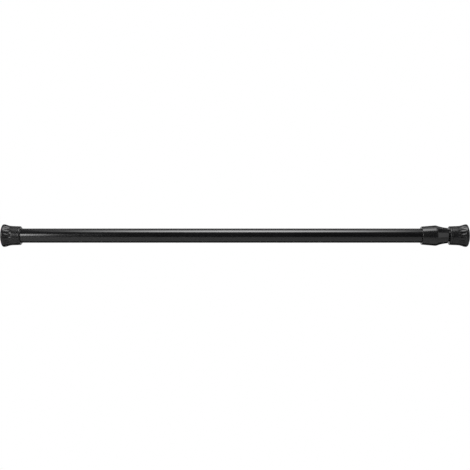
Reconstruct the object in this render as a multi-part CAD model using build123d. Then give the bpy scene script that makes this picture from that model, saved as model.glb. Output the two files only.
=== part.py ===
import os
from math import radians, tan

from build123d import *

# Tubes
outer_tube_od = 16.0
outer_tube_wall = 0.6
tube_gap = 0.9
inner_tube_wall = 0.5

# Fits
press_clearance = 0.02
running_clearance = 0.1
shaft_clearance = 0.08
free_clearance = 0.3
end_clearance = 0.2

# Motion
extension_travel = 370.0
spring_travel = 25.0
lock_turns = 2.0
screw_pitch = 1.5
retracted_gap = 1.3
tip_clearance = 43.9

# End caps
cap_length = 20.5
cap_floor = 3.0
cap_wall = 2.5
neck_taper = 0.2
flare_rise = 1.95
flare_length = 11.0
flare_bulge_share = 0.27
foot_round = 1.2
mouth_round = 1.4
mouth_bead = 2.0
bead_groove_depth = 0.35
bead_groove_width = 0.7
flute_count = 18
flute_cutter_r = 2.2
flute_foot_gap = 1.4
flute_deep_gap = 4.8
flute_neck_gap = 0.5
flute_floor_rise = 0.47
flute_lift = 0.1
flute_phase = -6.5

# Wall pads
pad_r = 10.0
pad_proud = 0.8
pad_recess = 1.2
pad_round = 0.5
pad_stem_r = 2.5
pad_stem_length = 1.2
pad_groove_r = (4.4, 7.2)
pad_groove_width = 0.9
pad_groove_depth = 0.5

# Collar on the mouth of the outer tube
collar_seat = 19.0
collar_nose = 10.4
collar_wall = 2.2
collar_crest_rise = 1.2
collar_crest_back = 2.4
collar_crest_width = 1.6
collar_nose_wall = 2.25
collar_nose_slope = 0.1
collar_tip_round = 1.2
collar_round = 0.6
collar_crest_round = 1.0

# Guide ring and end bush
ring_length = 8.0
ring_chamfer = 0.5
bush_spigot = 16.0
bush_flange = 1.5
bush_flange_rise = 0.8
journal_step = 0.1
shank_width = 5.0
shank_clearance = 0.1

# Spindle
spindle_head = 4.0
spindle_flange = 2.5
spindle_flange_r = 6.5
spindle_journal_r = 3.0
spindle_screw_r = 2.5
pilot_gap = 0.7
pilot_length = 6.0

# Expander sleeve and drag ring
sleeve_length = 22.0
sleeve_hub = 5.0
sleeve_mouth_wall = 1.0
sleeve_slots = 4
sleeve_slot_width = 2.0
wedge_angle = 8.0
wedge_seat_clearance = 0.05
drag_ring_wire_r = 0.8

# Wedge cone
cone_depth_at_lock = 14.0
cone_stand_out_at_lock = 2.0
key_length = 10.0
key_clearance = 0.2
cone_play = 0.5

# Tip washer and screw
tip_washer_r = 4.4
tip_washer_thickness = 1.0
tip_screw_r = 1.5
tip_screw_length = 8.0
tip_head_r = 2.8
tip_head_height = 2.2
tip_slot_width = 0.8
tip_slot_depth = 1.0

# Spring, its washer and its stop
spring_length = 80.0
spring_wire_r = 0.7
spring_side_gap = 0.5
spring_turns = 27
spring_washer_thickness = 1.0
spring_stop_length = 12.0
stop_vent_r = 1.5

# Punch marks that hold the bush and the stop in the inner tube
punch_r = 2.0
punch_depth = 0.7
punch_groove_width = 5.0

# Radii that follow from the tubes
outer_r = outer_tube_od / 2
outer_bore_r = outer_r - outer_tube_wall
inner_r = outer_bore_r - tube_gap
inner_bore_r = inner_r - inner_tube_wall
plug_r = inner_bore_r - press_clearance
neck_r = outer_r + cap_wall
root_r = neck_r + neck_taper
foot_r = root_r + flare_rise
ring_r = outer_bore_r - running_clearance
bush_journal_r = inner_bore_r - journal_step
sleeve_r = outer_bore_r - free_clearance
head_r = inner_bore_r - free_clearance
spring_mean_r = inner_bore_r - spring_side_gap - spring_wire_r
pilot_r = spring_mean_r - spring_wire_r - pilot_gap
collar_end_r = outer_r + collar_wall
collar_crest_r = collar_end_r + collar_crest_rise
collar_nose_r = inner_r + collar_nose_wall

# Places along the rod, from the face of the left pad
tube_start = pad_proud + cap_floor
lock_draw = lock_turns * screw_pitch
tip_x = tube_start + tip_clearance
screw_end_x = tip_x + tip_head_height + tip_washer_thickness
cone_x = screw_end_x + cone_play
cone_length = cone_depth_at_lock + cone_stand_out_at_lock
sleeve_x = cone_x + cone_stand_out_at_lock + lock_draw
hub_x = sleeve_x + sleeve_length - sleeve_hub
sleeve_end_x = sleeve_x + sleeve_length
flange_x = sleeve_end_x + end_clearance
flange_end_x = flange_x + spindle_flange
bush_x = flange_end_x + spring_travel + 5 * end_clearance
ring_x = bush_x + bush_flange + end_clearance / 2
inner_x = ring_x + ring_length + end_clearance / 2
bush_end_x = inner_x + bush_spigot
head_end_x = bush_end_x + spindle_head
spring_x = head_end_x + spring_washer_thickness
stop_x = spring_x + spring_length
shoulder_x = inner_x + extension_travel + end_clearance
collar_x = shoulder_x - collar_seat
collar_end_x = shoulder_x + collar_nose
right_mouth_x = collar_end_x + retracted_gap
rod_length = right_mouth_x + cap_length + pad_proud
inner_end_x = rod_length - tube_start


def turned(*edges):
    """Solid turned about the rod axis from the edges of its half profile."""
    return revolve(Plane.XZ * make_face(edges), Axis.X)


def bar(start, end, radius):
    """Round bar along the rod axis."""
    return turned(Polyline((start, 0), (end, 0), (end, radius), (start, radius), close=True))


def sleeve(start, end, outside, bore):
    """Round tube along the rod axis."""
    return turned(Polyline((start, bore), (end, bore), (end, outside), (start, outside), close=True))


def around(count, phase, piece):
    """Copies of a piece spaced evenly around the rod axis."""
    return [Rot(phase + 360 / count * k, 0, 0) * piece for k in range(count)]


def right_hand(piece):
    """A left end piece turned end for end onto the right end of the rod."""
    return Pos(rod_length, 0, 0) * Rot(0, 0, 180) * piece


def end_cap(tube_r, phase):
    """Cap with a fluted flare, a tapered neck and a beaded mouth, for a tube of the given radius."""
    front = pad_proud
    mouth = front + cap_length
    foot_x = front + foot_round
    flare_x = foot_x + flare_length
    bulge_x = foot_x + flare_length * flare_bulge_share
    bulge_r = foot_r - flare_rise * flare_bulge_share
    groove_x = mouth - mouth_bead
    groove_start = groove_x - bead_groove_width
    groove_r = neck_r - bead_groove_depth
    bore_r = tube_r + press_clearance
    recess_r = pad_r + press_clearance
    recess_x = front + pad_recess
    stem_hole_r = pad_stem_r + press_clearance
    stem_hole_x = recess_x + pad_stem_length + press_clearance
    round_x = mouth - mouth_round
    body = turned(
        Polyline(
            (mouth, neck_r - mouth_round),
            (mouth, bore_r),
            (tube_start, bore_r),
            (tube_start, 0),
            (stem_hole_x, 0),
            (stem_hole_x, stem_hole_r),
            (recess_x, stem_hole_r),
            (recess_x, recess_r),
            (front, recess_r),
            (front, foot_r - foot_round),
        ),
        RadiusArc((front, foot_r - foot_round), (foot_x, foot_r), foot_round),
        TangentArc((foot_x, foot_r), (bulge_x, bulge_r), tangent=(1, 0)),
        TangentArc((flare_x, root_r), (bulge_x, bulge_r), tangent=(flare_x - groove_start, neck_taper)),
        Polyline(
            (flare_x, root_r),
            (groove_start, neck_r),
            (groove_start, groove_r),
            (groove_x, groove_r),
            (groove_x, neck_r),
            (round_x, neck_r),
        ),
        RadiusArc((round_x, neck_r), (mouth, neck_r - mouth_round), mouth_round),
    )
    axis_r = root_r + flute_floor_rise + flute_cutter_r
    foot_end = (foot_x + flute_foot_gap, axis_r - foot_r)
    deepest = (foot_x + flute_deep_gap, flute_cutter_r)
    neck_end = (flare_x - flute_neck_gap, axis_r - root_r - flute_lift)
    flute = turned(
        ThreePointArc(foot_end, deepest, neck_end),
        Polyline(neck_end, (neck_end[0], 0), (foot_end[0], 0), foot_end),
    )
    for cutter in around(flute_count, -phase, Pos(0, -axis_r, 0) * flute):
        body -= cutter
    return body


def wall_pad():
    """Rubber pad with a stem that plugs into its cap and two rings moulded in its face."""
    back = pad_proud + pad_recess
    stem_end = back + pad_stem_length
    pad = turned(
        Polyline(
            (0, pad_r - pad_round),
            (0, 0),
            (stem_end, 0),
            (stem_end, pad_stem_r),
            (back, pad_stem_r),
            (back, pad_r),
            (pad_round, pad_r),
        ),
        RadiusArc((0, pad_r - pad_round), (pad_round, pad_r), pad_round),
    )
    for groove_r in pad_groove_r:
        pad -= sleeve(0, pad_groove_depth, groove_r + pad_groove_width, groove_r)
    return pad


def collar():
    """Collar that seats on the outer tube and guides the inner tube through its nose."""
    crest_x = shoulder_x - collar_crest_back
    crest_start = crest_x - collar_crest_width
    seat_r = outer_r + press_clearance
    guide_r = inner_r + running_clearance
    nose_tip_x = collar_end_x - collar_tip_round
    body = turned(
        Polyline(
            (collar_end_x, collar_nose_r - collar_tip_round),
            (collar_end_x, guide_r),
            (shoulder_x, guide_r),
            (shoulder_x, seat_r),
            (collar_x, seat_r),
            (collar_x, collar_end_r - collar_round),
        ),
        RadiusArc(
            (collar_x, collar_end_r - collar_round),
            (collar_x + collar_round, collar_end_r),
            collar_round,
        ),
        Line((collar_x + collar_round, collar_end_r), (crest_start, collar_crest_r)),
        Line((crest_start, collar_crest_r), (crest_x, collar_crest_r)),
        TangentArc(
            (nose_tip_x, collar_nose_r), (crest_x, collar_crest_r), tangent=(-1, collar_nose_slope)
        ),
        RadiusArc(
            (nose_tip_x, collar_nose_r),
            (collar_end_x, collar_nose_r - collar_tip_round),
            collar_tip_round,
        ),
    )
    rims = body.edges().filter_by(GeomType.CIRCLE)
    crest = rims.filter_by(lambda rim: rim.radius > collar_crest_r - collar_crest_rise / 2)
    return fillet(crest, collar_crest_round)


def punch_marks(x):
    """Two dents pressed into the inner tube at x, as the metal added inside and the hollow outside."""
    hollow = Pos(x, 0, inner_r + punch_r - punch_depth) * Sphere(punch_r)
    metal = Pos(x, 0, inner_r + punch_r - punch_depth) * Sphere(punch_r + inner_tube_wall)
    metal &= bar(x - punch_groove_width, x + punch_groove_width, inner_bore_r + inner_tube_wall / 2)
    return around(2, 0, metal), around(2, 0, hollow)


def inner_tube():
    """Inner tube with the punch marks that hold the end bush and the spring stop."""
    tube = sleeve(inner_x, inner_end_x, inner_r, inner_bore_r)
    for x in (inner_x + bush_spigot / 2, stop_x + spring_stop_length / 2):
        metal, hollow = punch_marks(x)
        tube = tube + metal - hollow
    return tube


def punch_groove(x):
    """Groove around a plug at x that the punch marks reach into."""
    floor_r = inner_bore_r - punch_depth - press_clearance
    start = x - punch_groove_width / 2
    return sleeve(start, start + punch_groove_width, inner_r, floor_r)


def guide_ring():
    """Ring that turns on the end bush and slides in the outer tube."""
    ring = sleeve(ring_x, ring_x + ring_length, ring_r, bush_journal_r + shaft_clearance)
    rims = ring.edges().filter_by(GeomType.CIRCLE)
    return chamfer(rims.filter_by(lambda rim: rim.radius > inner_r), ring_chamfer)


def end_bush():
    """Bush with a flange and journal for the guide ring and a square hole for the spindle."""
    bush = bar(bush_x, bush_x + bush_flange, bush_journal_r + bush_flange_rise)
    bush += bar(bush_x, inner_x, bush_journal_r)
    bush += bar(inner_x, bush_end_x, plug_r)
    bush -= punch_groove(inner_x + bush_spigot / 2)
    hole = shank_width + 2 * shank_clearance
    length = bush_end_x - bush_x
    return bush - Pos(bush_x + length / 2, 0, 0) * Box(length, hole, hole)


def lock_spindle():
    """Spindle with a head and spring pilot, a square shank, a flange, a journal and a screwed end."""
    journal_x = hub_x - end_clearance
    spindle = bar(bush_end_x, head_end_x, head_r)
    spindle += bar(head_end_x, head_end_x + pilot_length, pilot_r)
    length = bush_end_x - flange_end_x
    spindle += Pos(flange_end_x + length / 2, 0, 0) * Box(length, shank_width, shank_width)
    spindle += bar(flange_x, flange_end_x, spindle_flange_r)
    spindle += bar(journal_x, flange_x, spindle_journal_r)
    spindle += bar(screw_end_x, journal_x, spindle_screw_r)
    hole_end = screw_end_x + tip_screw_length + end_clearance
    return spindle - bar(screw_end_x, hole_end, tip_screw_r + press_clearance)


def wedge_r(depth):
    """Radius of the sleeve's tapered bore at a depth from its mouth."""
    return sleeve_r - sleeve_mouth_wall - depth * tan(radians(wedge_angle))


def drag_groove_x():
    """Middle of the drag ring along the rod."""
    return hub_x + sleeve_hub / 2


def expander_sleeve():
    """Split sleeve with a tapered bore, slots from its mouth to its hub and a groove for the drag ring."""
    taper_length = sleeve_length - sleeve_hub
    hub_bore_r = spindle_journal_r + shaft_clearance
    body = turned(
        Polyline(
            (sleeve_x, sleeve_r),
            (sleeve_x, wedge_r(0)),
            (hub_x, wedge_r(taper_length)),
            (hub_x, hub_bore_r),
            (sleeve_end_x, hub_bore_r),
            (sleeve_end_x, sleeve_r),
            close=True,
        )
    )
    slot = Pos(sleeve_x + taper_length / 2, sleeve_r / 2, 0) * Box(taper_length, sleeve_r, sleeve_slot_width)
    half_groove = drag_ring_wire_r + press_clearance
    groove_r = outer_bore_r - running_clearance - 2 * drag_ring_wire_r - press_clearance
    groove = sleeve(drag_groove_x() - half_groove, drag_groove_x() + half_groove, outer_r, groove_r)
    return body - around(sleeve_slots, 0, slot) - groove


def drag_ring():
    """Rubber ring of round section in the groove of the sleeve."""
    ring_mean_r = outer_bore_r - running_clearance - drag_ring_wire_r
    return Pos(drag_groove_x(), 0, 0) * Rot(0, 90, 0) * Torus(ring_mean_r, drag_ring_wire_r)


def wedge_cone():
    """Cone nut with keys that run in the slots of the sleeve."""
    large_r = wedge_r(-cone_stand_out_at_lock) - wedge_seat_clearance
    small_r = wedge_r(cone_depth_at_lock) - wedge_seat_clearance
    end_x = cone_x + cone_length
    cone = turned(Polyline((cone_x, 0), (end_x, 0), (end_x, small_r), (cone_x, large_r), close=True))
    key_r = sleeve_r - free_clearance
    key_width = sleeve_slot_width - 2 * key_clearance
    key = Pos(cone_x + key_length / 2, key_r / 2, 0) * Box(key_length, key_r, key_width)
    cone += around(sleeve_slots, 0, key)
    return cone - bar(cone_x, end_x, spindle_screw_r + shaft_clearance)


def tip_washer():
    """Washer that keeps the cone on the spindle."""
    start = tip_x + tip_head_height
    return sleeve(start, screw_end_x, tip_washer_r, tip_screw_r + press_clearance)


def tip_screw():
    """Slotted screw in the end of the spindle."""
    seat_x = tip_x + tip_head_height
    screw = bar(tip_x, seat_x, tip_head_r)
    screw += bar(seat_x, screw_end_x + tip_screw_length, tip_screw_r)
    return screw - Pos(tip_x + tip_slot_depth / 2, 0, 0) * Box(tip_slot_depth, 2 * tip_head_r, tip_slot_width)


def spring():
    """Compression spring of round wire between its washer and its stop."""
    coil_length = spring_length - 2 * spring_wire_r
    start = (spring_x + spring_wire_r, 0, 0)
    coil = Helix(coil_length / spring_turns, coil_length, spring_mean_r, center=start, direction=(1, 0, 0))
    wire = Plane(origin=coil @ 0, z_dir=coil % 0) * Circle(spring_wire_r)
    return sweep(wire, path=coil, is_frenet=True)


def spring_washer():
    """Washer between the head of the spindle and the spring."""
    return sleeve(head_end_x, spring_x, head_r, pilot_r + press_clearance)


def spring_stop():
    """Plug in the inner tube with a pilot that the spring stands on and a vent through it."""
    end_x = stop_x + spring_stop_length
    plug = bar(stop_x, end_x, plug_r)
    plug += bar(stop_x - pilot_length, stop_x, pilot_r)
    plug -= punch_groove(stop_x + spring_stop_length / 2)
    return plug - bar(stop_x - pilot_length, end_x, stop_vent_r)


parts = {
    "outer_tube": sleeve(tube_start, shoulder_x, outer_r, outer_bore_r),
    "left_end_cap": end_cap(outer_r, flute_phase),
    "left_wall_pad": wall_pad(),
    "collar": collar(),
    "guide_ring": guide_ring(),
    "inner_tube": inner_tube(),
    "end_bush": end_bush(),
    "right_end_cap": right_hand(end_cap(inner_r, -flute_phase)),
    "right_wall_pad": right_hand(wall_pad()),
    "spring": spring(),
    "spring_stop": spring_stop(),
    "lock_spindle": lock_spindle(),
    "spring_washer": spring_washer(),
    "tip_washer": tip_washer(),
    "tip_screw": tip_screw(),
    "expander_sleeve": expander_sleeve(),
    "drag_ring": drag_ring(),
    "wedge_cone": wedge_cone(),
}

os.makedirs("parts", exist_ok=True)
for name, piece in parts.items():
    export_step(piece, f"parts/{name}.step")
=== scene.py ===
import math

import bmesh
import bpy
from mathutils import Matrix, Vector


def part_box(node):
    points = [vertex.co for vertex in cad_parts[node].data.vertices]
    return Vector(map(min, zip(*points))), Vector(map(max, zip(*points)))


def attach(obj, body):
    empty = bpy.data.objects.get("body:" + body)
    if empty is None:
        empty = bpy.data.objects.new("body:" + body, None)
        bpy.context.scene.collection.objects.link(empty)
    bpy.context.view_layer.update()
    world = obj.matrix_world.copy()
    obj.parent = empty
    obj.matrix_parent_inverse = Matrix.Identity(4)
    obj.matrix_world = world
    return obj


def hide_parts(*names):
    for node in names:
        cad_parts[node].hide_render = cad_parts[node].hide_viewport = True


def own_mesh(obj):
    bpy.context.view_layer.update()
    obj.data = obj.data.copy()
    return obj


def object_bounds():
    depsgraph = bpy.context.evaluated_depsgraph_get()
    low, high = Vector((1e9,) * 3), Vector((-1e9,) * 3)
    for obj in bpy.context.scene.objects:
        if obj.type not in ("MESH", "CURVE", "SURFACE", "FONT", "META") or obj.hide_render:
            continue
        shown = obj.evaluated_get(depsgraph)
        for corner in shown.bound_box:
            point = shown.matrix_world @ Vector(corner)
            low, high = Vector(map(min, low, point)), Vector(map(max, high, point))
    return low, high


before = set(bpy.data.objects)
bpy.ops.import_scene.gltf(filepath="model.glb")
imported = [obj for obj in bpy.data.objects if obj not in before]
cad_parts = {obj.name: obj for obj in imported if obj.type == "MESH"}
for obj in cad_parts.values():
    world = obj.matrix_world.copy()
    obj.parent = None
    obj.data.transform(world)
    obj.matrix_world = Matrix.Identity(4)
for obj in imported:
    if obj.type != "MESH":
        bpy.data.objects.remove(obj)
CAD_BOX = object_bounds()

bl_info = {
    "name": "Extendable Curtain Rod",
    "version": (1, 0, 0),
    "blender": (4, 5, 0),
    "location": "3D View > Sidebar > Curtain Rod",
    "description": "Turns, flutes and finishes the pieces of a twist-lock curtain rod on its packed frame",
    "category": "Object",
}

MM = 0.001
QUARTER_TURN = math.pi / 2.0
WHITE = (1.0, 1.0, 1.0, 1.0)

# Fits and meshing
PRESS_GAP = 0.02 * MM
MERGE_GAP = 0.002 * MM
ARC_STEP = math.radians(9.0)
CREASE_ANGLE = math.radians(40.0)

# Punch marks: reach of the close mesh in ball radii, reach of a dent as a share of the ball radius squared,
# and softness of its rim as a share of its depth
PUNCH_MESH_REACH = 1.2
DENT_REACH = 1.2
DENT_SOFTNESS = 0.25

# Flank of the thread, as shares of the pitch from the middle of its crest
THREAD_FLANK = (0.14, 0.36)

# Values that most of a noise lies between
NOISE_RANGE = (0.3, 0.7)

# Roughness of the floor and the cards, sheen of the floor, and its fade as shares of its half size
MATT = 0.9
FLOOR_SHEEN = 0.1
FLOOR_FADE = (0.86, 0.98)

# Ends of the rod, as side, body, tube and direction from the wall into the rod
ENDS = (("left", "outer_half", "outer_tube", 1.0), ("right", "inner_half", "inner_tube", -1.0))


# Places and radii that come from the frame


def start_of(node):
    """Left end of a CAD node along the rod."""
    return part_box(node)[0][0]


def end_of(node):
    """Right end of a CAD node along the rod."""
    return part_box(node)[1][0]


def radius_of(node):
    """Largest radius of a CAD node about the rod axis."""
    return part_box(node)[1][2]


def first_end(node, direction):
    """End of a CAD node that comes first in a direction along the rod."""
    return start_of(node) if direction > 0.0 else end_of(node)


ROD_MIDDLE = (CAD_BOX[0][0] + CAD_BOX[1][0]) / 2.0

# Turns of the sheets, which are made face up
FACE_UP = (0.0, 0.0, 0.0)
FACE_DOWN = (math.pi, 0.0, 0.0)
FACE_BACK = (-QUARTER_TURN, 0.0, 0.0)

# Sheets of the stage, as place from the middle of the rod, half size and turn
SHEETS = {
    "floor": ((0.0, -0.275, -0.42), (1.3, 0.775), FACE_UP),
    "overhead_softbox": ((0.02, -0.28, 0.9), (0.49, 0.4), FACE_DOWN),
    "front_lamp": ((-0.72, -0.95, 0.2), (0.27, 0.4), FACE_BACK),
    "bounce_card": ((-0.68, -1.0, -0.17), (0.28, 0.22), FACE_BACK),
    # The cards and flags from here on paint dark reflections into the gloss, and block no light
    "dark_card": ((-0.1, -1.06, 0.54), (0.78, 0.96), FACE_BACK),
    "floor_card": ((0.0, 0.3, -0.41), (1.3, 0.2), FACE_UP),
    "upper_flag": ((0.0, 8.0, 8.4), (8.0, 5.7), FACE_BACK),
    "lower_flag": ((0.0, 8.0, -8.4), (8.0, 5.7), FACE_BACK),
    "left_flag": ((-0.9, -0.28, 0.92), (0.4, 0.6), FACE_DOWN),
    "right_flag": ((1.22, -0.33, 0.92), (0.68, 0.68), FACE_DOWN),
}

# Dark sheets which only the gloss shows: painted dark reflections, which neither light nor shade anything
CARDS = ("dark_card", "floor_card", "upper_flag", "lower_flag", "left_flag", "right_flag")


# Sizes and colours that a user would change


def length(name, description, default):
    """Length property, in metres."""
    return bpy.props.FloatProperty(
        name=name, description=description, default=default, precision=5, subtype="DISTANCE", unit="LENGTH"
    )


def share(name, description, default):
    """Property between nothing and all."""
    return bpy.props.FloatProperty(
        name=name, description=description, default=default, min=0.0, max=1.0, subtype="FACTOR"
    )


def angle(name, description, degrees):
    """Angle property."""
    return bpy.props.FloatProperty(
        name=name, description=description, default=math.radians(degrees), subtype="ANGLE", unit="ROTATION"
    )


def count(name, description, default):
    """Whole number property."""
    return bpy.props.IntProperty(name=name, description=description, default=default, min=1)


def strength(name, description, default):
    """Brightness property, where 1 is white."""
    return bpy.props.FloatProperty(name=name, description=description, default=default, min=0.0)


def colour(name, description, default):
    """Colour property."""
    return bpy.props.FloatVectorProperty(
        name=name, description=description, default=default, size=3, min=0.0, max=1.0, subtype="COLOR"
    )


class RodTubes(bpy.types.PropertyGroup):
    """Sizes of the two steel tubes."""

    outer_wall: length("Outer wall", "Wall of the outer tube", 0.6 * MM)
    inner_wall: length("Inner wall", "Wall of the inner tube", 0.5 * MM)
    edge_round: length("Edge round", "Rounding of the cut ends", 0.12 * MM)
    sides: count("Sides", "Faces around each tube", 144)
    punch_radius: length("Punch radius", "Ball of the punch that dents the inner tube", 2.0 * MM)
    punch_depth: length("Punch depth", "Depth of each dent", 0.7 * MM)
    punch_step: length("Punch step", "Spacing of the mesh across a dent", 0.2 * MM)


class RodCaps(bpy.types.PropertyGroup):
    """Sizes of the end caps."""

    flare_rise: length("Flare rise", "How far the foot stands out from the neck", 1.95 * MM)
    neck_taper: length("Neck taper", "How much the neck grows from its mouth to the flare", 0.2 * MM)
    flare_length: length("Flare length", "Length of the flare along the rod", 11.0 * MM)
    bulge_share: share("Bulge share", "Part of the flare that bulges before it hollows", 0.27)
    foot_round: length("Foot round", "Rounding of the foot's rim", 1.2 * MM)
    mouth_round: length("Mouth round", "Rounding of the bead at the mouth", 1.4 * MM)
    bead_length: length("Bead length", "Plain bead at the mouth", 2.0 * MM)
    groove_width: length("Groove width", "Groove behind the bead", 0.7 * MM)
    groove_depth: length("Groove depth", "Depth of that groove", 0.35 * MM)
    edge_round: length("Edge round", "Rounding of small edges", 0.12 * MM)
    mesh_step: length("Mesh step", "Spacing of the mesh along the flutes", 0.35 * MM)
    sides: count("Sides", "Faces around each cap", 288)
    flutes: count("Flutes", "Flutes around the flare", 18)
    flute_depth: length("Flute depth", "Depth of each flute at its middle", 0.5 * MM)
    flute_axis: length("Flute axis", "From the rod axis to the axis of the cutter", 13.37 * MM)
    flute_middle: length("Flute middle", "From the cap's front to the middle of a flute", 7.1 * MM)
    flute_reach: length("Flute reach", "From the middle of a flute to its ends", 4.6 * MM)
    flute_soft: length("Flute soft", "Softness of a flute's edges", 0.12 * MM)
    flute_turn: angle("Flute turn", "Turn of the first flute up from the front", -6.5)


class RodPads(bpy.types.PropertyGroup):
    """Sizes of the rubber wall pads."""

    recess: length("Recess", "Depth of the pad's seat in its cap", 1.2 * MM)
    rim_round: length("Rim round", "Rounding of the pad's rim", 0.5 * MM)
    edge_round: length("Edge round", "Rounding of the ring edges", 0.12 * MM)
    stem_radius: length("Stem radius", "Radius of the stem", 2.5 * MM)
    inner_ring: length("Inner ring", "Inside radius of the inner ring groove", 4.4 * MM)
    outer_ring: length("Outer ring", "Inside radius of the outer ring groove", 7.2 * MM)
    ring_width: length("Ring width", "Width of each ring groove", 0.9 * MM)
    ring_depth: length("Ring depth", "Depth of each ring groove", 0.5 * MM)
    sides: count("Sides", "Faces around each pad", 120)


class RodCollar(bpy.types.PropertyGroup):
    """Sizes of the collar."""

    crest_rise: length("Crest rise", "Height of the crest over the left end", 1.2 * MM)
    crest_back: length("Crest back", "Crest's place, back from the tube's mouth", 2.4 * MM)
    crest_width: length("Crest width", "Flat of the crest", 1.6 * MM)
    crest_round: length("Crest round", "Rounding of the crest's edges", 1.0 * MM)
    nose_radius: length("Nose radius", "Radius at the tip of the nose", 8.75 * MM)
    nose_slope: share("Nose slope", "How steeply the nose leaves its tip", 0.1)
    tip_round: length("Tip round", "Rounding of the nose's tip", 1.2 * MM)
    guide_gap: length("Guide gap", "Running gap around the inner tube", 0.1 * MM)
    end_round: length("End round", "Rounding of the left end", 0.6 * MM)
    lip_round: length("Lip round", "Rounding of both bores", 0.2 * MM)
    hollow_steps: count("Hollow steps", "Faces along the hollow nose", 18)
    sides: count("Sides", "Faces around the collar", 160)


class RodLock(bpy.types.PropertyGroup):
    """Sizes of the spring and the spindle."""

    spring_turns: count("Spring turns", "Turns of the spring", 27)
    closed_turns: count("Closed turns", "Turns that touch at each end of the spring", 2)
    wire_radius: length("Wire radius", "Radius of the spring wire", 0.7 * MM)
    wire_sides: count("Wire sides", "Faces around the wire", 14)
    turn_steps: count("Turn steps", "Faces along each turn", 48)
    spring_travel: length("Spring travel", "How far the spring is pressed", 25.0 * MM)
    pitch: length("Pitch", "Pitch of the spindle's screw", 1.5 * MM)
    thread_depth: length("Thread depth", "Depth of the thread", 0.5 * MM)
    thread_step: length("Thread step", "Spacing of the mesh along the screw", 0.12 * MM)
    screw_radius: length("Screw radius", "Outside of the thread", 2.5 * MM)
    journal_radius: length("Journal radius", "Radius of the journal", 3.0 * MM)
    journal_length: length("Journal length", "Length of the journal", 5.4 * MM)
    flange_gap: length("Flange gap", "Gap from the sleeve to the flange", 0.2 * MM)
    flange_width: length("Flange width", "Thickness of the flange", 2.5 * MM)
    shank_width: length("Shank width", "Width of the square shank", 5.0 * MM)
    shank_corner: length("Shank corner", "Radius that the shank's corners are cut to", 3.42 * MM)
    head_radius: length("Head radius", "Radius of the head", 5.7 * MM)
    head_length: length("Head length", "Length of the head", 4.0 * MM)
    pilot_radius: length("Pilot radius", "Radius of the pilot inside the spring", 3.4 * MM)
    pilot_length: length("Pilot length", "Length of the pilot", 6.0 * MM)
    screw_hole: length("Screw hole", "Radius of the hole for the tip screw", 1.52 * MM)
    screw_hole_depth: length("Screw hole depth", "Depth of that hole", 8.2 * MM)
    edge_round: length("Edge round", "Rounding of the spindle's edges", 0.25 * MM)
    pilot_round: length("Pilot round", "Rounding of the pilot's tip", 0.5 * MM)
    sides: count("Sides", "Faces around the spindle", 96)


class RodFinish(bpy.types.PropertyGroup):
    """Colours of the finishes."""

    coat: colour("Coat", "Gloss black coat of the tubes", (0.006, 0.006, 0.0065))
    plastic: colour("Plastic", "Moulded black plastic", (0.01, 0.01, 0.0105))
    pad: colour("Pad", "Rubber of the wall pads", (0.021, 0.021, 0.022))
    ring: colour("Ring", "Rubber of the drag ring", (0.015, 0.015, 0.016))
    pale: colour("Pale plastic", "Pale plastic of the lock", (0.62, 0.6, 0.54))
    spring: colour("Spring", "Drawn spring steel", (0.36, 0.35, 0.34))
    zinc: colour("Zinc", "Zinc plated steel", (0.6, 0.62, 0.64))


class RodStage(bpy.types.PropertyGroup):
    """Camera, floor and lamps."""

    camera_distance: length("Camera distance", "From the rod axis to the camera", 887.0 * MM)
    camera_side: length("Camera side", "Camera's place along the rod, from its middle", 0.0)
    camera_rise: length("Camera rise", "Camera's height over the rod axis", 0.7 * MM)
    lens: bpy.props.FloatProperty(name="Lens", description="Focal length", default=60.78, unit="CAMERA")
    overhead: strength("Overhead", "Brightness of the overhead softbox", 10.5)
    front: strength("Front", "Brightness of the small lamp at the left front", 20.0)
    bounce: strength("Bounce", "Brightness of the bounce card under that lamp", 1.8)
    fill: strength("Fill", "Brightness of the room", 0.3)
    floor: colour("Floor", "Pale floor", (0.7, 0.7, 0.7))
    # Colour of the cards and flags that paint dark reflections into the gloss
    card: colour("Card", "Dark card and flags", (0.008, 0.008, 0.008))


# Outlines of turned pieces, as (place along the rod, radius)


def rounded(corners):
    """Outline through (place, radius, rounding) corners, each rounded by an arc that meets both its sides."""
    outline = []
    for index, (place, radius, rounding) in enumerate(corners):
        corner = Vector((place, radius))
        if rounding == 0.0:
            outline.append(corner)
            continue
        back = (Vector(corners[index - 1][:2]) - corner).normalized()
        ahead = (Vector(corners[index + 1][:2]) - corner).normalized()
        half = back.angle(ahead) / 2.0
        centre = corner + (back + ahead).normalized() * (rounding / math.sin(half))
        spoke = corner + back * (rounding / math.tan(half)) - centre
        sweep = math.pi - 2.0 * half
        steps = max(2, math.ceil(sweep / ARC_STEP))
        turn = -sweep / steps if back.cross(ahead) > 0.0 else sweep / steps
        outline.extend(centre + Matrix.Rotation(turn * step, 2) @ spoke for step in range(steps + 1))
    return outline


def level_arc(level, far, steps, lean=0.0):
    """Arc from a point where it runs along the rod, or leans off it, to a far point."""
    reach = Matrix.Rotation(lean, 2) @ (Vector(far) - Vector(level))
    back = Matrix.Rotation(-lean, 2)
    radius = reach.length_squared / (2.0 * reach.y)
    sweep = 2.0 * math.atan(reach.y / reach.x)
    arc = []
    for step in range(steps + 1):
        turn = sweep * step / steps
        arc.append(Vector(level) + back @ Vector((radius * math.sin(turn), radius * (1.0 - math.cos(turn)))))
    return arc


def straight(start, end, step):
    """Points along a straight line, no further apart than the step."""
    start, end = Vector(start), Vector(end)
    steps = max(1, math.ceil((end - start).length / step))
    return [start.lerp(end, index / steps) for index in range(steps + 1)]


def set_out(outline, front, direction):
    """Outline measured from a front face, set out along the rod from that face."""
    return [(front + direction * place, radius) for place, radius in outline]


# Node helpers


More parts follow.
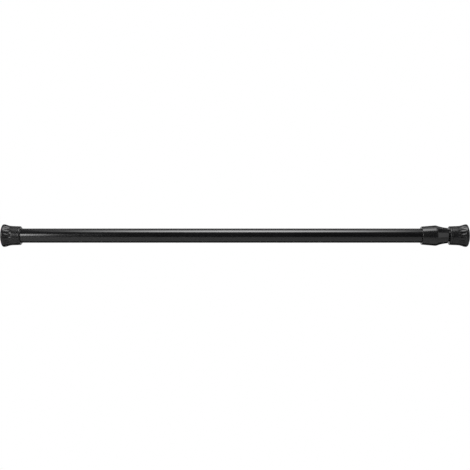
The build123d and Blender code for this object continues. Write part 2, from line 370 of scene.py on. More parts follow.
class Output:
    """Output of a node. Arithmetic on it adds Math nodes to its tree."""

    def __init__(self, socket):
        self.socket = socket
        self.tree = socket.id_data

    def __add__(self, other):
        return calc("ADD", self, other)

    def __sub__(self, other):
        return calc("SUBTRACT", self, other)

    def __rsub__(self, other):
        return calc("SUBTRACT", other, self)

    def __mul__(self, other):
        return calc("MULTIPLY", self, other)

    def __truediv__(self, other):
        return calc("DIVIDE", self, other)

    def __rtruediv__(self, other):
        return calc("DIVIDE", other, self)

    def __pow__(self, other):
        return calc("POWER", self, other)

    def __abs__(self):
        return calc("ABSOLUTE", self)

    def __gt__(self, other):
        return calc("GREATER_THAN", self, other)

    def __lt__(self, other):
        return calc("LESS_THAN", self, other)


def fill(node, inputs):
    """Joins or fills the inputs of a node."""
    for key, value in inputs.items():
        if isinstance(value, Output):
            value.tree.links.new(value.socket, node.inputs[key])
        else:
            node.inputs[key].default_value = value


def put(tree, kind, inputs=None, output=0, **settings):
    """Adds a node with its settings and its inputs, and gives one of its outputs."""
    node = tree.nodes.new(kind)
    for name, value in settings.items():
        setattr(node, name, value)
    fill(node, inputs or {})
    return Output(node.outputs[output]) if node.outputs else None


def calc(operation, *values):
    """Result of a Math node."""
    tree = next(value.tree for value in values if isinstance(value, Output))
    return put(tree, "ShaderNodeMath", dict(enumerate(values)), operation=operation)


def ramp(value, low, high, to_low=0.0, to_high=1.0, smooth=False):
    """Value carried from one range to another, and held at its ends."""
    kind = "SMOOTHSTEP" if smooth else "LINEAR"
    ends = {"Value": value, "From Min": low, "From Max": high, "To Min": to_low, "To Max": to_high}
    return put(value.tree, "ShaderNodeMapRange", ends, interpolation_type=kind)


def spread(value, low, high):
    """Noise carried to a range of its own."""
    return ramp(value, *NOISE_RANGE, low, high)


def axes_of(vector):
    """X, Y and Z of a vector."""
    parts = put(vector.tree, "ShaderNodeSeparateXYZ", {"Vector": vector})
    return [Output(socket) for socket in parts.socket.node.outputs]


def axis_distance(y, z):
    """Distance from the rod axis."""
    return calc("SQRT", calc("MULTIPLY_ADD", y, y, z * z))


# Geometry trees


def open_tree(name, **inputs):
    """New geometry tree with named inputs, and a way to look those inputs up."""
    tree = bpy.data.node_groups.new(name, "GeometryNodeTree")
    tree.interface.new_socket("Geometry", in_out="INPUT", socket_type="NodeSocketGeometry")
    for label, value in inputs.items():
        kind = "NodeSocketInt" if isinstance(value, int) else "NodeSocketFloat"
        socket = tree.interface.new_socket(label.replace("_", " ").title(), in_out="INPUT", socket_type=kind)
        socket.default_value = value
    tree.interface.new_socket("Material", in_out="INPUT", socket_type="NodeSocketMaterial")
    tree.interface.new_socket("Geometry", in_out="OUTPUT", socket_type="NodeSocketGeometry")
    sockets = tree.nodes.new("NodeGroupInput").outputs
    return tree, lambda label: Output(sockets[label])


def close_tree(tree, given, geometry):
    """Ends a geometry tree with plain geometry in its material."""
    plain = put(tree, "GeometryNodeRealizeInstances", {"Geometry": geometry})
    painted = put(tree, "GeometryNodeSetMaterial", {"Geometry": plain, "Material": given("Material")})
    put(tree, "NodeGroupOutput", {"Geometry": painted})
    return tree


def moved(geometry, point):
    """Geometry with its points moved to new places."""
    return put(geometry.tree, "GeometryNodeSetPosition", {"Geometry": geometry, "Position": point})


def on_circle(place, radius, turn):
    """Point at a place along the rod, a radius and a turn from the front."""
    y = radius * (calc("COSINE", turn) * -1.0)
    z = radius * calc("SINE", turn)
    return put(place.tree, "ShaderNodeCombineXYZ", {"X": place, "Y": y, "Z": z})


def round_axis(tree):
    """Place along the rod, radius and turn from the front of each point."""
    x, y, z = axes_of(put(tree, "GeometryNodeInputPosition"))
    return x, axis_distance(y, z), calc("ARCTAN2", z, y * -1.0)


def turned_tree():
    """Turns the outline in the object's own mesh about the rod axis."""
    tree, given = open_tree("Turned Piece", sides=96, crease=CREASE_ANGLE)
    mesh = {"Geometry": given("Geometry")}
    points = put(tree, "GeometryNodeAttributeDomainSize", mesh, "Point Count", component="MESH")
    grid = put(tree, "GeometryNodeMeshGrid", {"Vertices X": given("Sides") + 1.0, "Vertices Y": points})
    index = put(tree, "GeometryNodeInputIndex")
    column = calc("FLOOR", (index + 0.5) / points)
    row = index - column * points
    pick = {**mesh, "Value": put(tree, "GeometryNodeInputPosition"), "Index": row}
    outline = put(tree, "GeometryNodeSampleIndex", pick, data_type="FLOAT_VECTOR", domain="POINT")
    place, _, radius = axes_of(outline)
    shell = moved(grid, on_circle(place, radius, column / given("Sides") * math.tau))
    closed = put(tree, "GeometryNodeMergeByDistance", {"Geometry": shell, "Distance": MERGE_GAP})
    smooth = put(tree, "GeometryNodeSetShadeSmooth", {"Geometry": closed})
    edge = put(tree, "GeometryNodeInputMeshEdgeAngle", output="Unsigned Angle")
    sharp = put(tree, "FunctionNodeCompare", {"A": edge, "B": given("Crease")}, operation="GREATER_THAN")
    creased = {"Geometry": smooth, "Selection": sharp, "Shade Smooth": False}
    return close_tree(tree, given, put(tree, "GeometryNodeSetShadeSmooth", creased, domain="EDGE"))


def flute_tree():
    """Presses a ring of leaf-shaped flutes into the flare of a turned cap."""
    tree, given = open_tree(
        "Flutes",
        flutes=18,
        turn=0.0,
        front=0.0,
        direction=1.0,
        middle=0.007,
        reach=0.004,
        depth=0.0004,
        axis_radius=0.0134,
        least_radius=0.01,
        softness=0.0001,
    )
    place, radius, turn = round_axis(tree)
    along = (place - given("Front")) * given("Direction")
    offset = (along - given("Middle")) / given("Reach")
    hump = calc("MAXIMUM", 1.0 - offset**2.0, 0.0)
    half_gap = math.pi / given("Flutes")
    apart = calc("WRAP", turn - given("Turn"), half_gap, half_gap * -1.0)
    cutter = given("Axis Radius") - (radius - hump * given("Depth"))
    across = given("Axis Radius") * calc("SINE", apart)
    chord = calc("MAXIMUM", cutter**2.0 - across**2.0, 0.0)
    cut = given("Axis Radius") * calc("COSINE", apart) - calc("SQRT", chord)
    pressed = calc("SMOOTH_MIN", radius, cut, hump * given("Softness"))
    fluted = (hump > 0.0) * (radius > given("Least Radius"))
    point = on_circle(place, radius + fluted * (pressed - radius), turn)
    return close_tree(tree, given, moved(given("Geometry"), point))


def punch_tree():
    """Presses two pairs of ball dents into the top and bottom of a turned tube."""
    tree, given = open_tree("Punch Marks", first_place=0.0, second_place=0.0, ball_radius=0.002, depth=0.0007)
    place, radius, turn = round_axis(tree)
    along = calc("MINIMUM", abs(place - given("First Place")), abs(place - given("Second Place")))
    apart = calc("WRAP", turn - QUARTER_TURN, QUARTER_TURN, -QUARTER_TURN)
    reach = along**2.0 + (radius * apart) ** 2.0
    ball = given("Ball Radius") ** 2.0
    sunk = given("Ball Radius") - given("Depth")
    dent = calc("SQRT", calc("MAXIMUM", ball - reach, 0.0)) - sunk
    soft_dent = calc("SMOOTH_MAX", dent, 0.0, given("Depth") * DENT_SOFTNESS)
    near = reach < ball * DENT_REACH
    point = on_circle(place, radius - soft_dent * near, turn)
    return close_tree(tree, given, moved(given("Geometry"), point))


def spindle_tree():
    """Squares the shank and cuts the thread of a turned spindle."""
    tree, given = open_tree(
        "Spindle Form",
        screw_start=0.0,
        screw_end=0.02,
        core_radius=0.002,
        pitch=0.0015,
        thread_depth=0.0005,
        shank_start=0.03,
        shank_end=0.08,
        half_width=0.0025,
        corner_radius=0.0034,
    )
    place, radius, turn = round_axis(tree)
    phase = place / given("Pitch") + turn / math.tau
    groove = ramp(abs(calc("FRACT", phase) - 0.5), *THREAD_FLANK)
    entry = ramp(place, given("Screw Start"), given("Screw Start") + given("Pitch"))
    run_out = ramp(place, given("Screw End") - given("Pitch"), given("Screw End"), 1.0, 0.0)
    outside = radius > given("Core Radius")
    threaded = radius - entry * run_out * (groove * given("Thread Depth") * outside)
    wide = calc("MAXIMUM", abs(calc("COSINE", turn)), abs(calc("SINE", turn)))
    flat = calc("MINIMUM", radius, given("Half Width") / wide)
    after_start = place > given("Shank Start") - MERGE_GAP
    before_end = place < given("Shank End") + MERGE_GAP
    slim = radius < given("Corner Radius") + MERGE_GAP
    on_shank = after_start * before_end * slim
    point = on_circle(place, threaded + on_shank * (flat - threaded), turn)
    return close_tree(tree, given, moved(given("Geometry"), point))


def spring_tree():
    """Coil spring along the rod with touching, ground end turns."""
    tree, given = open_tree(
        "Coil Spring",
        start=0.0,
        end=0.08,
        mean_radius=0.005,
        wire_radius=0.0007,
        turns=27,
        closed_turns=2,
        turn_steps=48,
        wire_sides=14,
    )
    steps = given("Turns") * given("Turn Steps")
    line = put(tree, "GeometryNodeMeshLine", {"Count": steps + 1.0})
    wound = put(tree, "GeometryNodeInputIndex") / given("Turn Steps")
    closed_pitch = given("Wire Radius") * 2.0
    both_closed = given("Closed Turns") * 2.0
    room = given("End") - given("Start") - given("Wire Radius")
    open_pitch = (room - both_closed * closed_pitch) / (given("Turns") - both_closed)
    first = calc("MINIMUM", wound, given("Closed Turns"))
    last = calc("MAXIMUM", wound - (given("Turns") - given("Closed Turns")), 0.0)
    run = calc("MULTIPLY_ADD", wound - first - last, open_pitch, (first + last) * closed_pitch)
    place = given("Start") + given("Wire Radius") * 0.5 + run
    helix = moved(line, on_circle(place, given("Mean Radius"), wound * math.tau))
    path = put(tree, "GeometryNodeMeshToCurve", {"Mesh": helix})
    section = {"Resolution": given("Wire Sides"), "Radius": given("Wire Radius")}
    wire = put(tree, "GeometryNodeCurvePrimitiveCircle", section, mode="RADIUS")
    coil = put(tree, "GeometryNodeCurveToMesh", {"Curve": path, "Profile Curve": wire, "Fill Caps": True})
    x, y, z = axes_of(put(tree, "GeometryNodeInputPosition"))
    ground = calc("MINIMUM", calc("MAXIMUM", x, given("Start")), given("End"))
    flat = put(tree, "ShaderNodeCombineXYZ", {"X": ground, "Y": y, "Z": z})
    return close_tree(tree, given, put(tree, "GeometryNodeSetShadeSmooth", {"Geometry": moved(coil, flat)}))


TREES = {}


def tree_of(builder):
    """Geometry tree from its builder, built once."""
    if builder.__name__ not in TREES:
        TREES[builder.__name__] = builder()
    return TREES[builder.__name__]


# Pieces


def outline_object(name, outline):
    """Object whose mesh is the outline of a turned piece."""
    mesh = bpy.data.meshes.new(name)
    edges = [(index, index + 1) for index in range(len(outline) - 1)]
    mesh.from_pydata([(place, 0.0, radius) for place, radius in outline], edges, [])
    obj = bpy.data.objects.new(name, mesh)
    bpy.context.scene.collection.objects.link(obj)
    return obj


def grow(obj, material, *steps):
    """Runs geometry trees with their inputs on an object, and keeps the result as its closed plain mesh."""
    for builder, inputs in steps:
        tree = tree_of(builder)
        modifier = obj.modifiers.new(tree.name, "NODES")
        modifier.node_group = tree
        values = {"Material": material, **inputs}
        for socket in tree.interface.items_tree:
            if socket.in_out == "INPUT" and socket.name in values:
                modifier[socket.identifier] = values[socket.name]
    depsgraph = bpy.context.evaluated_depsgraph_get()
    mesh = bpy.data.meshes.new_from_object(
        obj.evaluated_get(depsgraph), preserve_all_data_layers=True, depsgraph=depsgraph
    )
    obj.modifiers.clear()
    form = bmesh.new()
    form.from_mesh(mesh)
    bmesh.ops.recalc_face_normals(form, faces=form.faces)
    open_edges = sum(not edge.is_manifold for edge in form.edges)
    if open_edges or not form.faces:
        raise RuntimeError(f"{obj.name} has {open_edges} open edges and {len(form.faces)} faces")
    form.to_mesh(mesh)
    form.free()
    mesh.name = obj.name
    obj.data = mesh


def fit(obj, body, node):
    """Puts a finished piece on its body in place of its CAD node."""
    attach(obj, body)
    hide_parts(node)


def turn_piece(node, body, slot, outline, sides, material, *steps):
    """Turned piece in place of a CAD node, with further trees run on it."""
    piece = outline_object(f"rod_{node}", outline)
    grow(piece, material, (turned_tree, {"Sides": sides}), *steps)
    fit(piece, body, node)


# Finishes


def new_surface(name):
    """New material with its tree and its surface shader."""
    material = bpy.data.materials.new(name)
    material.use_nodes = True
    return material, material.node_tree, material.node_tree.nodes["Principled BSDF"]


def own_place(tree):
    """Place on the piece itself."""
    return put(tree, "ShaderNodeTexCoord", output="Object")


def noise(place, scale, detail, stretch=(1.0, 1.0, 1.0)):
    """Noise with its own stretch along each axis."""
    stretched = put(place.tree, "ShaderNodeMapping", {"Vector": place, "Scale": stretch})
    return put(place.tree, "ShaderNodeTexNoise", {"Vector": stretched, "Scale": scale, "Detail": detail})


def shade(base, value, low, high):
    """Base colour that varies from a low to a high share of itself."""
    dark = [part * low for part in base] + [1.0]
    light = [min(1.0, part * high) for part in base] + [1.0]
    mix = {0: spread(value, 0.0, 1.0), 6: dark, 7: light}
    return put(value.tree, "ShaderNodeMix", mix, output=2, data_type="RGBA")


def relief(*layers):
    """Normal from (height, depth) layers, one over the other."""
    under = {}
    for height, depth in layers:
        bump = {"Height": height, "Distance": depth, "Strength": 1.0}
        under = {"Normal": put(height.tree, "ShaderNodeBump", {**bump, **under})}
    return under["Normal"]


def coat_look(place, base, slide_lines=0.0):
    """Gloss black coat with a faint orange peel, soft smears and the lines that sliding leaves."""
    smear = noise(place, scale=38.0, detail=4.0, stretch=(0.35, 1.0, 1.0))
    peel = noise(place, scale=620.0, detail=2.0)
    lines = noise(place, scale=2600.0, detail=2.0, stretch=(0.006, 1.0, 1.0))
    worn = ramp(lines, low=0.5, high=0.75) * slide_lines
    return {
        "Base Color": shade(base, smear, low=0.85, high=1.2),
        "Roughness": spread(smear, low=0.11, high=0.17) + worn,
        "IOR": 1.52,
        "Normal": relief((peel, 0.006 * MM), (lines, 0.0008 * MM)),
    }


def plastic_look(place, base, gloss, rim_radius, index=1.5):
    """Moulded black plastic with fine grain, a faint parting line and a scuffed rim."""
    grain = noise(place, scale=3800.0, detail=2.0)
    flow = noise(place, scale=120.0, detail=4.0)
    scuffs = noise(place, scale=900.0, detail=5.0)
    _, y, z = axes_of(place)
    rim = ramp(axis_distance(y, z), low=rim_radius - 0.5 * MM, high=rim_radius, smooth=True)
    rub = rim * ramp(scuffs, low=0.45, high=0.7)
    rub_roughness = 0.16
    even = spread(flow, low=gloss - 0.03, high=gloss + 0.04)
    seam = ramp(abs(y), low=0.02 * MM, high=0.07 * MM, to_low=1.0, to_high=0.0, smooth=True)
    return {
        "Base Color": shade(base, flow, low=0.88, high=1.15),
        "Roughness": calc("MULTIPLY_ADD", rub, rub_roughness, even),
        "IOR": index,
        "Normal": relief((grain, 0.0015 * MM), (seam, 0.012 * MM)),
    }


def rubber_look(place, base, bloom=0.0):
    """Matt rubber with a mottled skin and a pale bloom."""
    mottle = noise(place, scale=420.0, detail=5.0)
    skin = noise(place, scale=2600.0, detail=3.0)
    return {
        "Base Color": shade(base, mottle, low=0.8, high=1.25 + bloom),
        "Roughness": spread(mottle, low=0.62, high=0.8),
        "IOR": 1.48,
        "Normal": relief((mottle, 0.02 * MM), (skin, 0.008 * MM)),
    }


def pale_look(place, base):
    """Pale moulded plastic with flow marks and fine grain."""
    flow = noise(place, scale=150.0, detail=5.0, stretch=(0.5, 1.0, 1.0))
    grain = noise(place, scale=3200.0, detail=2.0)
    return {
        "Base Color": shade(base, flow, low=0.92, high=1.06),
        "Roughness": spread(flow, low=0.36, high=0.48),
        "Subsurface Weight": 0.08,
        "Subsurface Scale": 0.6 * MM,
        "Normal": relief((grain, 0.006 * MM)),
    }


def spring_look(place, base):
    """Drawn steel wire with fine lines and a patchy film of oil."""
    oil = noise(place, scale=260.0, detail=4.0)
    drawn = noise(place, scale=5200.0, detail=2.0, stretch=(1.0, 0.25, 0.25))
    return {
        "Base Color": shade(base, oil, low=0.75, high=1.15),
        "Roughness": spread(oil, low=0.24, high=0.42),
        "Metallic": 1.0,
        "Normal": relief((drawn, 0.006 * MM)),
    }


def zinc_look(place, base):
    """Zinc plate with small cloudy patches."""
    cloud = noise(place, scale=340.0, detail=6.0)
    fine = noise(place, scale=4200.0, detail=3.0)
    return {
        "Base Color": shade(base, cloud, low=0.82, high=1.1),
        "Roughness": spread(cloud, low=0.22, high=0.4),
        "Metallic": 1.0,
        "Normal": relief((fine, 0.005 * MM)),
    }


FINISHES = {}


def finish_of(name, look, base, **details):
    """Finish with a look that is worked out on the piece itself, made once."""
    if name not in FINISHES:
        FINISHES[name], tree, surface = new_surface(name)
        fill(surface, look(own_place(tree), base, **details))
    return FINISHES[name]


def paint(node, material):
    """Gives a CAD node that keeps its shape a finish."""
    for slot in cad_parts[node].material_slots:
        slot.material = material


# Operators


class CURTAIN_ROD_OT_tubes(bpy.types.Operator):
    """Makes the outer and the inner tube"""

    bl_idname = "curtain_rod.tubes"
    bl_label = "Tubes"

    def execute(self, context):
        sizes = context.scene.rod_tubes
        black = context.scene.rod_finish.coat
        coat = finish_of("gloss_black_coat", coat_look, black)
        outer = self.outline("outer_tube", sizes.outer_wall, sizes, [])
        turn_piece("outer_tube", "outer_half", "black_coat", outer, sizes.sides, coat)
        bush_middle = (start_of("inner_tube") + end_of("end_bush")) / 2.0
        stop_middle = (end_of("spring") + end_of("spring_stop")) / 2.0
        marks = {
            "First Place": bush_middle,
            "Second Place": stop_middle,
            "Ball Radius": sizes.punch_radius,
            "Depth": sizes.punch_depth,
        }
        slid = finish_of("gloss_black_coat_slid", coat_look, black, slide_lines=0.12)
        inner = self.outline("inner_tube", sizes.inner_wall, sizes, [bush_middle, stop_middle])
        turn_piece("inner_tube", "inner_half", "black_coat", inner, sizes.sides, slid, (punch_tree, marks))
        return {"FINISHED"}

    @staticmethod
    def outline(node, wall, sizes, punches):
        """Outline of a tube, with close points where it is punched."""
        start, end, outside = start_of(node), end_of(node), radius_of(node)
        bore = outside - wall
        reach = math.ceil(PUNCH_MESH_REACH * sizes.punch_radius / sizes.punch_step)
        places = [punch + sizes.punch_step * step for punch in punches for step in range(-reach, reach + 1)]
        return rounded(
            [(start, bore, 0.0)]
            + [(place, bore, 0.0) for place in places]
            + [(end, bore, sizes.edge_round), (end, outside, sizes.edge_round)]
            + [(place, outside, 0.0) for place in reversed(places)]
            + [(start, outside, sizes.edge_round), (start, bore, 0.0)]
        )


class CURTAIN_ROD_OT_end_caps(bpy.types.Operator):
    """Makes both end caps with their flutes"""

    bl_idname = "curtain_rod.end_caps"
    bl_label = "End Caps"

    def execute(self, context):
        sizes = context.scene.rod_caps
        pads = context.scene.rod_pads
        plastic = finish_of(
            "cap_black_plastic",
            plastic_look,
            context.scene.rod_finish.plastic,
            gloss=0.24,
            rim_radius=radius_of("left_end_cap"),
            index=1.42,
        )
        for side, body, tube, direction in ENDS:
            cap = f"{side}_end_cap"
            outline, flutes = self.outline(cap, f"{side}_wall_pad", tube, direction, sizes, pads)
            turn_piece(cap, body, "black_plastic", outline, sizes.sides, plastic, (flute_tree, flutes))
        return {"FINISHED"}

    @staticmethod
    def outline(cap_node, pad_node, tube, direction, sizes, pads):
        """Outline of a cap, measured from its front, and the sizes of its flutes."""
        front = first_end(cap_node, direction)
        floor = direction * (first_end(tube, direction) - front)
        stem_end = direction * (first_end(pad_node, -direction) - front) + PRESS_GAP
        cap_length = end_of(cap_node) - start_of(cap_node)
        foot = radius_of(cap_node)
        root = foot - sizes.flare_rise
        neck = root - sizes.neck_taper
        bore = radius_of(tube) + PRESS_GAP
        recess = radius_of(pad_node) + PRESS_GAP
        stem = pads.stem_radius + PRESS_GAP
        groove_end = cap_length - sizes.bead_length
        groove_start = groove_end - sizes.groove_width
        groove = neck - sizes.groove_depth
        flare_end = sizes.foot_round + sizes.flare_length
        edge = sizes.edge_round
        mouth_side = rounded(
            [
                (floor, 0.0, 0.0),
                (floor, bore, 0.0),
                (cap_length, bore, edge),
                (cap_length, neck, sizes.mouth_round),
                (groove_end, neck, edge),
                (groove_end, groove, edge),
                (groove_start, groove, edge),
                (groove_start, neck, edge),
                (flare_end, root, 0.0),
            ]
        )
        neck_line = straight(mouth_side[-2], mouth_side[-1], sizes.mesh_step)
        bulge = (
            sizes.foot_round + sizes.flare_length * sizes.bulge_share,
            foot - sizes.flare_rise * sizes.bulge_share,
        )
        hollow_steps = math.ceil((flare_end - bulge[0]) / sizes.mesh_step)
        hollow = level_arc((flare_end, root), bulge, hollow_steps)
        swell_steps = math.ceil((bulge[0] - sizes.foot_round) / sizes.mesh_step)
        swell = level_arc((sizes.foot_round, foot), bulge, swell_steps)
        front_side = rounded(
            [
                (sizes.foot_round, foot, 0.0),
                (0.0, foot, sizes.foot_round),
                (0.0, recess, edge),
                (pads.recess, recess, 0.0),
                (pads.recess, stem, 0.0),
                (stem_end, stem, 0.0),
                (stem_end, 0.0, 0.0),
            ]
        )
        outline = mouth_side[:-1] + neck_line[1:] + hollow[1:] + swell[-2::-1] + front_side[1:]
        flutes = {
            "Front": front,
            "Direction": direction,
            "Flutes": sizes.flutes,
            "Turn": sizes.flute_turn,
            "Middle": sizes.flute_middle,
            "Reach": sizes.flute_reach,
            "Depth": sizes.flute_depth,
            "Axis Radius": sizes.flute_axis,
            "Least Radius": neck + MERGE_GAP,
            "Softness": sizes.flute_soft,
        }
        return set_out(outline, front, direction), flutes


class CURTAIN_ROD_OT_wall_pads(bpy.types.Operator):
    """Makes both rubber wall pads"""

    bl_idname = "curtain_rod.wall_pads"
    bl_label = "Wall Pads"

    def execute(self, context):
        sizes = context.scene.rod_pads
        rubber = finish_of("pad_rubber", rubber_look, context.scene.rod_finish.pad, bloom=0.35)
        for side, body, _, direction in ENDS:
            pad = f"{side}_wall_pad"
            outline = self.outline(pad, f"{side}_end_cap", direction, sizes)
            turn_piece(pad, body, "pad_rubber", outline, sizes.sides, rubber)
        return {"FINISHED"}

    @staticmethod
    def outline(pad, cap, direction, sizes):
        """Outline of a pad, measured from its face."""
        depth = end_of(pad) - start_of(pad)
        face = first_end(pad, direction)
        proud = direction * (first_end(cap, direction) - face)
        back = proud + sizes.recess
        edge = sizes.edge_round
        corners = [(0.0, 0.0, 0.0)]
        for ring in (sizes.inner_ring, sizes.outer_ring):
            corners += [
                (0.0, ring, edge),
                (sizes.ring_depth, ring, edge),
                (sizes.ring_depth, ring + sizes.ring_width, edge),
                (0.0, ring + sizes.ring_width, edge),
            ]
        corners += [
            (0.0, radius_of(pad), sizes.rim_round),
            (back, radius_of(pad), edge),
            (back, sizes.stem_radius, 0.0),
            (depth, sizes.stem_radius, edge),
            (depth, 0.0, 0.0),
        ]
        return set_out(rounded(corners), face, direction)


class CURTAIN_ROD_OT_collar(bpy.types.Operator):
    """Makes the collar"""

    bl_idname = "curtain_rod.collar"
    bl_label = "Collar"

    def execute(self, context):
        sizes = context.scene.rod_collar
        start, end = start_of("collar"), end_of("collar")
        shoulder = end_of("outer_tube")
        seat = radius_of("outer_tube") + PRESS_GAP
        guide = radius_of("inner_tube") + sizes.guide_gap
        crest = radius_of("collar")
        crest_end = shoulder - sizes.crest_back
        nose_tip = end - sizes.tip_round
        lean = math.atan(sizes.nose_slope)
        hollow = level_arc((nose_tip, sizes.nose_radius), (crest_end, crest), sizes.hollow_steps, lean)
        outline = rounded(
            [(shoulder, guide, 0.0), (end, guide, sizes.lip_round), (end, sizes.nose_radius, sizes.tip_round)]
            + [(place, radius, 0.0) for place, radius in hollow[:-1]]
            + [
                (crest_end, crest, sizes.crest_round),
                (crest_end - sizes.crest_width, crest, sizes.crest_round),
                (start + sizes.end_round, crest - sizes.crest_rise, 0.0),
                (start, crest - sizes.crest_rise, sizes.end_round),
                (start, seat, sizes.lip_round),
                (shoulder, seat, 0.0),
                (shoulder, guide, 0.0),
            ]
        )
        black = context.scene.rod_finish.plastic
        plastic = finish_of("collar_black_plastic", plastic_look, black, gloss=0.18, rim_radius=crest)
        turn_piece("collar", "outer_half", "black_plastic", outline, sizes.sides, plastic)
        return {"FINISHED"}


class CURTAIN_ROD_OT_spring(bpy.types.Operator):
    """Winds the spring"""

    bl_idname = "curtain_rod.spring"
    bl_label = "Spring"

    def execute(self, context):
        sizes = context.scene.rod_lock
        start, end = start_of("spring"), end_of("spring")
        spring = outline_object("rod_spring", [(start, 0.0), (end, 0.0)])
        coil = {
            "Start": start,
            "End": end,
            "Mean Radius": radius_of("spring") - sizes.wire_radius,
            "Wire Radius": sizes.wire_radius,
            "Turns": sizes.spring_turns,
            "Closed Turns": sizes.closed_turns,
            "Turn Steps": sizes.turn_steps,
            "Wire Sides": sizes.wire_sides,
        }
        steel = finish_of("drawn_spring_steel", spring_look, context.scene.rod_finish.spring)
        grow(spring, steel, (spring_tree, coil))
        fit(spring, "inner_half", "spring")
        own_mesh(spring)
        return {"FINISHED"}


class CURTAIN_ROD_OT_spindle(bpy.types.Operator):
    """Makes the screwed spindle of the lock"""

    bl_idname = "curtain_rod.spindle"
    bl_label = "Spindle"

    def execute(self, context):
        sizes = context.scene.rod_lock
        start, end = start_of("lock_spindle"), end_of("lock_spindle")
        flange = end_of("expander_sleeve") + sizes.flange_gap
        journal = flange - sizes.journal_length
        shank_start = flange + sizes.flange_width
        head_end = end - sizes.pilot_length
        shank_end = head_end - sizes.head_length
        flange_radius = radius_of("lock_spindle")
        hole_end = start + sizes.screw_hole_depth
        edge = sizes.edge_round
        screw = straight((start, sizes.screw_radius), (journal, sizes.screw_radius), sizes.thread_step)
        outline = rounded(
            [(hole_end, 0.0, 0.0), (hole_end, sizes.screw_hole, 0.0), (start, sizes.screw_hole, 0.0)]
            + [(place, radius, 0.0) for place, radius in screw]
            + [
                (journal, sizes.journal_radius, 0.0),
                (flange, sizes.journal_radius, 0.0),
                (flange, flange_radius, edge),
                (shank_start, flange_radius, edge),
                (shank_start, sizes.shank_corner, 0.0),
                (shank_end, sizes.shank_corner, 0.0),
                (shank_end, sizes.head_radius, edge),
                (head_end, sizes.head_radius, edge),
                (head_end, sizes.pilot_radius, 0.0),
                (end, sizes.pilot_radius, sizes.pilot_round),
                (end, 0.0, 0.0),
            ]
        )
        form = {
            "Screw Start": start,
            "Screw End": journal,
            "Core Radius": sizes.screw_radius - sizes.thread_depth,
            "Pitch": sizes.pitch,
            "Thread Depth": sizes.thread_depth,
            "Shank Start": shank_start,
            "Shank End": shank_end,
            "Half Width": sizes.shank_width / 2.0,
            "Corner Radius": sizes.shank_corner,
        }
        pale = finish_of("pale_moulded_plastic", pale_look, context.scene.rod_finish.pale)
        shaped = (spindle_tree, form)
        turn_piece("lock_spindle", "spindle", "pale_plastic", outline, sizes.sides, pale, shaped)
        return {"FINISHED"}


class CURTAIN_ROD_OT_lock_pieces(bpy.types.Operator):
    """Finishes the pieces of the lock that keep their CAD shape"""

    bl_idname = "curtain_rod.lock_pieces"
    bl_label = "Lock Pieces"

    def execute(self, context):
        colours = context.scene.rod_finish
        pale = finish_of("pale_moulded_plastic", pale_look, colours.pale)
        zinc = finish_of("zinc_plate", zinc_look, colours.zinc)
        for node in ("guide_ring", "end_bush", "expander_sleeve", "wedge_cone", "spring_stop"):
            paint(node, pale)
        for node in ("tip_washer", "tip_screw", "spring_washer"):
            paint(node, zinc)
        paint("drag_ring", finish_of("drag_ring_rubber", rubber_look, colours.ring))
        return {"FINISHED"}


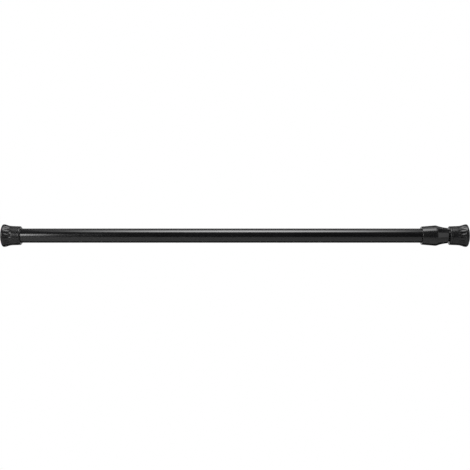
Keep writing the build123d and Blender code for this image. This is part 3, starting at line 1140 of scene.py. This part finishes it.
class CURTAIN_ROD_OT_stage(bpy.types.Operator):
    """Sets the floor, the lamps, the room and the camera"""

    bl_idname = "curtain_rod.stage"
    bl_label = "Stage"

    def execute(self, context):
        scene = context.scene
        sizes = scene.rod_stage
        scene.view_settings.view_transform = "Standard"
        self.room(scene, sizes)
        self.floor(sizes)
        self.cards(sizes)
        self.lamp("overhead_softbox", sizes.overhead, falloff=1.0)
        self.lamp("front_lamp", sizes.front, falloff=2.0)
        self.lamp("bounce_card", sizes.bounce, falloff=1.0)
        lens = bpy.data.cameras.new("camera")
        lens.lens = sizes.lens
        camera = bpy.data.objects.new("camera", lens)
        camera.location = (ROD_MIDDLE + sizes.camera_side, -sizes.camera_distance, sizes.camera_rise)
        camera.rotation_euler = (QUARTER_TURN, 0.0, 0.0)
        scene.collection.objects.link(camera)
        scene.camera = camera
        return {"FINISHED"}

    @staticmethod
    def seen(tree):
        """One for rays that look, and nothing for rays that light."""
        rays = put(tree, "ShaderNodeLightPath").socket.node.outputs
        kinds = ("Camera", "Glossy", "Transmission")
        camera, glossy, through = (Output(rays[f"Is {kind} Ray"]) for kind in kinds)
        return calc("MAXIMUM", camera, calc("MAXIMUM", glossy, through))

    @staticmethod
    def sheet(name, material):
        """Flat sheet of the stage, whose own coordinates run from -1 to 1."""
        place, half_size, turn = SHEETS[name]
        mesh = bpy.data.meshes.new(name)
        mesh.from_pydata([(-1, -1, 0), (1, -1, 0), (1, 1, 0), (-1, 1, 0)], [], [(0, 1, 2, 3)])
        mesh.materials.append(material)
        obj = bpy.data.objects.new(name, mesh)
        obj.location = Vector(place) + Vector((ROD_MIDDLE, 0.0, 0.0))
        obj.rotation_euler = turn
        obj.scale = (*half_size, 1.0)
        bpy.context.scene.collection.objects.link(obj)
        return obj

    def room(self, scene, sizes):
        """White room that looks white and lights softly."""
        world = bpy.data.worlds.new("white_room")
        world.use_nodes = True
        tree = world.node_tree
        tree.nodes.clear()
        light = put(tree, "ShaderNodeBackground", {"Strength": sizes.fill, "Color": WHITE})
        white = put(tree, "ShaderNodeBackground", {"Strength": 1.0, "Color": WHITE})
        mix = put(tree, "ShaderNodeMixShader", {0: self.seen(tree), 1: light, 2: white})
        put(tree, "ShaderNodeOutputWorld", {"Surface": mix})
        scene.world = world

    def floor(self, sizes):
        """Pale floor that fades into the white room at its rim."""
        material, tree, surface = new_surface("pale_floor")
        fill(surface, {"Base Color": (*sizes.floor, 1.0), "Roughness": MATT, "Specular IOR Level": FLOOR_SHEEN})
        x, y, _ = axes_of(own_place(tree))
        rim = ramp(calc("MAXIMUM", abs(x), abs(y)), *FLOOR_FADE, smooth=True)
        white = put(tree, "ShaderNodeEmission", {"Strength": 1.0, "Color": WHITE})
        pale = Output(surface.outputs[0])
        mix = put(tree, "ShaderNodeMixShader", {0: rim * self.seen(tree), 1: pale, 2: white})
        fill(tree.nodes["Material Output"], {"Surface": mix})
        self.sheet("floor", material)

    def cards(self, sizes):
        """Dark cards and flags around the view, which only the gloss shows: painted dark reflections that show
        as dark bands, with no light blocked and no shadow cast.
        """
        material, _, surface = new_surface("dark_card")
        fill(surface, {"Base Color": (*sizes.card, 1.0), "Roughness": MATT})
        for name in CARDS:
            card = self.sheet(name, material)
            # Hidden from the camera, from diffuse light and from shadows, so that each card only paints a dark
            # reflection
            card.visible_camera = False
            card.visible_diffuse = False
            card.visible_shadow = False

    def lamp(self, name, brightness, falloff):
        """Softbox that is brightest at its middle and fades to its edges."""
        material = bpy.data.materials.new(name)
        material.use_nodes = True
        tree = material.node_tree
        tree.nodes.clear()
        x, y, _ = axes_of(own_place(tree))
        fade = calc("COSINE", x * QUARTER_TURN) * calc("COSINE", y * QUARTER_TURN)
        glow = fade**falloff * brightness
        light = put(tree, "ShaderNodeEmission", {"Strength": glow, "Color": WHITE})
        put(tree, "ShaderNodeOutputMaterial", {"Surface": light})
        self.sheet(name, material).visible_camera = False


class CURTAIN_ROD_PT_sidebar(bpy.types.Panel):
    """Lists the steps and the sizes of the rod"""

    bl_idname = "CURTAIN_ROD_PT_sidebar"
    bl_label = "Curtain Rod"
    bl_space_type = "VIEW_3D"
    bl_region_type = "UI"
    bl_category = "Curtain Rod"

    def draw(self, context):
        steps = self.layout.column(align=True)
        for step in STEPS:
            steps.operator(step.bl_idname)
        for name, group in GROUPS.items():
            box = self.layout.box()
            box.label(text=group.__doc__)
            for key in group.__annotations__:
                box.prop(getattr(context.scene, name), key)


GROUPS = {
    "rod_tubes": RodTubes,
    "rod_caps": RodCaps,
    "rod_pads": RodPads,
    "rod_collar": RodCollar,
    "rod_lock": RodLock,
    "rod_finish": RodFinish,
    "rod_stage": RodStage,
}
STEPS = (
    CURTAIN_ROD_OT_tubes,
    CURTAIN_ROD_OT_end_caps,
    CURTAIN_ROD_OT_wall_pads,
    CURTAIN_ROD_OT_collar,
    CURTAIN_ROD_OT_spring,
    CURTAIN_ROD_OT_spindle,
    CURTAIN_ROD_OT_lock_pieces,
    CURTAIN_ROD_OT_stage,
)


def register():
    """Registers the sizes, the steps and the panel."""
    for name, group in GROUPS.items():
        bpy.utils.register_class(group)
        setattr(bpy.types.Scene, name, bpy.props.PointerProperty(type=group))
    for step in STEPS:
        bpy.utils.register_class(step)
    bpy.utils.register_class(CURTAIN_ROD_PT_sidebar)


def unregister():
    """Takes the panel, the steps and the sizes away again."""
    bpy.utils.unregister_class(CURTAIN_ROD_PT_sidebar)
    for step in reversed(STEPS):
        bpy.utils.unregister_class(step)
    for name, group in reversed(GROUPS.items()):
        delattr(bpy.types.Scene, name)
        bpy.utils.unregister_class(group)


def main():
    """Builds every piece and the stage."""
    register()
    bpy.ops.curtain_rod.tubes()
    bpy.ops.curtain_rod.end_caps()
    bpy.ops.curtain_rod.wall_pads()
    bpy.ops.curtain_rod.collar()
    bpy.ops.curtain_rod.spring()
    bpy.ops.curtain_rod.spindle()
    bpy.ops.curtain_rod.lock_pieces()
    bpy.ops.curtain_rod.stage()


if __name__ == "__main__":
    main()
